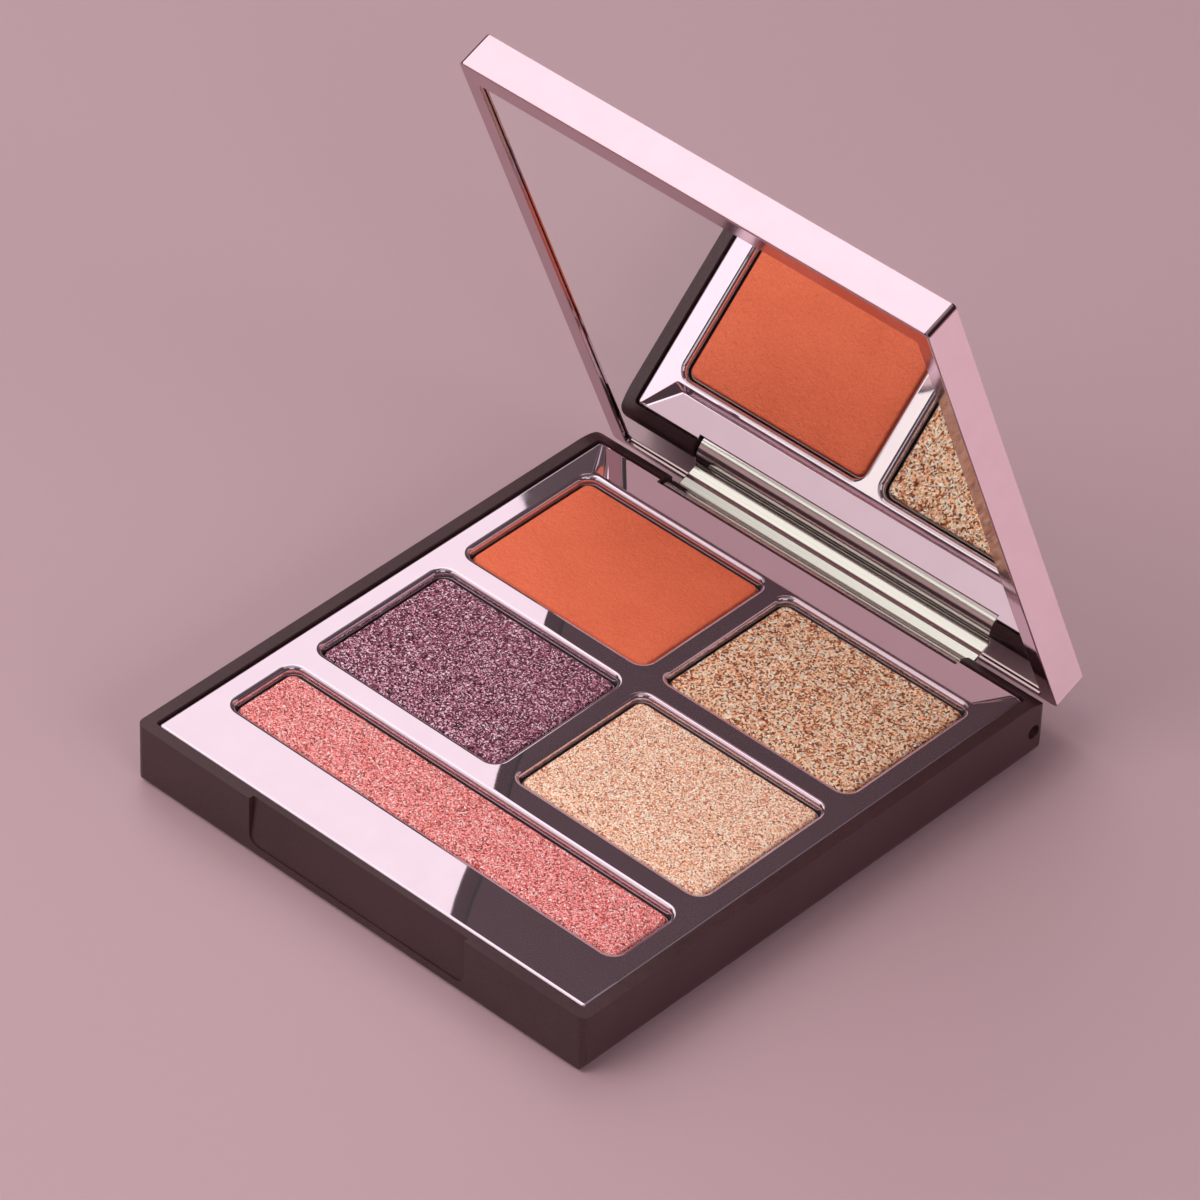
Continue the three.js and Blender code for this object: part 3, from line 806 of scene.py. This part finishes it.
def softbox(name, place, target, size, power, color):
    lamp = bpy.data.lights.new(name, "AREA")
    lamp.shape = "RECTANGLE"
    lamp.size, lamp.size_y = size
    lamp.energy = power
    lamp.color = color
    obj = bpy.data.objects.new(name, lamp)
    bpy.context.scene.collection.objects.link(obj)
    return aim(obj, place, target)


def make_floor():
    half = FLOOR_HALF
    corners = [(-half, -half, 0), (half, -half, 0), (half, half, 0), (-half, half, 0)]
    floor = new_object("floor", corners, [(0, 1, 2, 3)])
    floor.data.materials.append(floor_material())


def make_world():
    """A dim mauve room that brightens overhead."""
    world = bpy.data.worlds.new("studio")
    bpy.context.scene.world = world
    world.use_nodes = True
    tree = world.node_tree
    background = tree.nodes["Background"]
    place = tree.nodes.new("ShaderNodeTexCoord")
    split = tree.nodes.new("ShaderNodeSeparateXYZ")
    ramp = tree.nodes.new("ShaderNodeValToRGB")
    fill_ramp(ramp, SKY)
    tree.links.new(place.outputs["Generated"], split.inputs["Vector"])
    tree.links.new(split.outputs["Z"], ramp.inputs["Fac"])
    tree.links.new(ramp.outputs["Color"], background.inputs["Color"])


def make_camera():
    data = bpy.data.cameras.new("camera")
    data.sensor_width = 36.0
    data.lens = CAMERA_LENS
    data.clip_start = 0.05
    data.clip_end = 20.0
    camera = bpy.data.objects.new("camera", data)
    bpy.context.scene.collection.objects.link(camera)
    aim(camera, Vector(CAMERA_PLACE) * MM, Vector(CAMERA_TARGET) * MM)
    camera.matrix_world = camera.matrix_world @ Matrix.Rotation(CAMERA_ROLL, 4, "Z")
    bpy.context.scene.camera = camera


def make_lights():
    """Hangs every lamp towards the palette; only the panels show in reflections."""
    centre = (0.0, 0.0, 0.02)
    for lamps, in_reflections in ((PANELS, True), (DIFFUSED, False)):
        for name, place, size, radiance, color in lamps:
            power = radiance * math.pi * size[0] * size[1]
            lamp = softbox(name, place, centre, size, power, color)
            lamp.visible_glossy = in_reflections


# ---- The model ----

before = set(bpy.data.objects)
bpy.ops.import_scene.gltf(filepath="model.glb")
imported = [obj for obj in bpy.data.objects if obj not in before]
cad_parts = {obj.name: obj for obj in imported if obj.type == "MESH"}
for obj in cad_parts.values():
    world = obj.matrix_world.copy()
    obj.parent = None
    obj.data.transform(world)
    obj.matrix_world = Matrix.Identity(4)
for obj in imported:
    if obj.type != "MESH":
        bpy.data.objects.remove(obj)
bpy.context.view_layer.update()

case_brown = satin_plastic()
tray_metal = metallised("tray_metallised", (0.90, 0.76, 0.84), (0.93, 0.79, 0.87), metallic=0.95)
lid_pearl = metallised("lid_pearl", (0.93, 0.68, 0.75), (0.96, 0.71, 0.78), (0.14, 0.20), metallic=0.45)
# A darker copy of the lid metal: partly the rim's own tone, partly painted shade on the faces that
# lid_finish picks.
lid_rim_and_shade = metallised("lid_rim_and_shade", (0.56, 0.41, 0.44), (0.60, 0.44, 0.47), (0.06, 0.10))
aluminium = plain_metal("pan_aluminium", (0.52, 0.48, 0.48), (0.64, 0.60, 0.60), 900, (0.3, 0.42))
steel = plain_metal("pin_steel", (0.20, 0.18, 0.19), (0.28, 0.26, 0.27), 1500, (0.3, 0.45))
magnet = plain_metal("magnet", (0.55, 0.55, 0.57), (0.62, 0.62, 0.64), 700, (0.25, 0.35))

powders = {
    "rose": glitter_powder(
        "powder_rose",
        ((0.0, (0.12, 0.008, 0.008)), (0.2, (0.52, 0.080, 0.075)), (0.52, (0.99, 0.25, 0.235)),
         (0.85, (1.0, 0.48, 0.44)), (1.0, (1.0, 0.96, 0.92))),
        scale=6400, metallic=0.25, rough=0.4, facet=0.9,
    ),
    "plum": glitter_powder(
        "powder_plum",
        ((0.0, (0.01, 0.0005, 0.002)), (0.3, (0.07, 0.010, 0.024)), (0.6, (0.27, 0.078, 0.13)),
         (0.82, (0.72, 0.30, 0.42)), (1.0, (1.0, 0.86, 0.94))),
        scale=6000, metallic=0.25, rough=0.35, facet=0.9,
    ),
    "champagne": glitter_powder(
        "powder_champagne",
        ((0.0, (0.20, 0.045, 0.018)), (0.18, (0.74, 0.25, 0.13)), (0.42, (1.0, 0.51, 0.31)),
         (0.75, (1.0, 0.83, 0.60)), (1.0, (1.0, 1.0, 0.90))),
        scale=6000, metallic=0.15, rough=0.4, facet=0.9,
    ),
    "terracotta": matte_powder("powder_terracotta", (0.77, 0.152, 0.068), (0.83, 0.176, 0.082)),
    "gold": glitter_powder(
        "powder_gold",
        ((0.0, (0.16, 0.038, 0.012)), (0.22, (0.42, 0.13, 0.050)), (0.42, (1.0, 0.43, 0.215)),
         (0.68, (1.0, 0.74, 0.46)), (1.0, (1.0, 0.98, 0.84))),
        # The last setting is the share of grains painted near white as glints.
        scale=4200, metallic=0.3, rough=0.3, facet=0.9, glint_flakes=0.05,
    ),
}

make_base_shell(case_brown)
make_tray(tray_metal)
for well, (x_span, y_span) in WELLS.items():
    make_pan(well, x_span, y_span, aluminium)
    make_powder(well, x_span, y_span, powders[well])
make_pin("left", -1, steel)
make_pin("right", 1, steel)
make_lid_shell(lid_pearl, lid_rim_and_shade, drawn_silver())
make_mirror(mirror_glass())
glue = adhesive()
paint_hidden_nodes({"magnet": magnet, "glue": glue, "tape": glue})

bpy.context.scene.view_settings.view_transform = "Standard"
make_floor()
make_world()
make_lights()
make_camera()
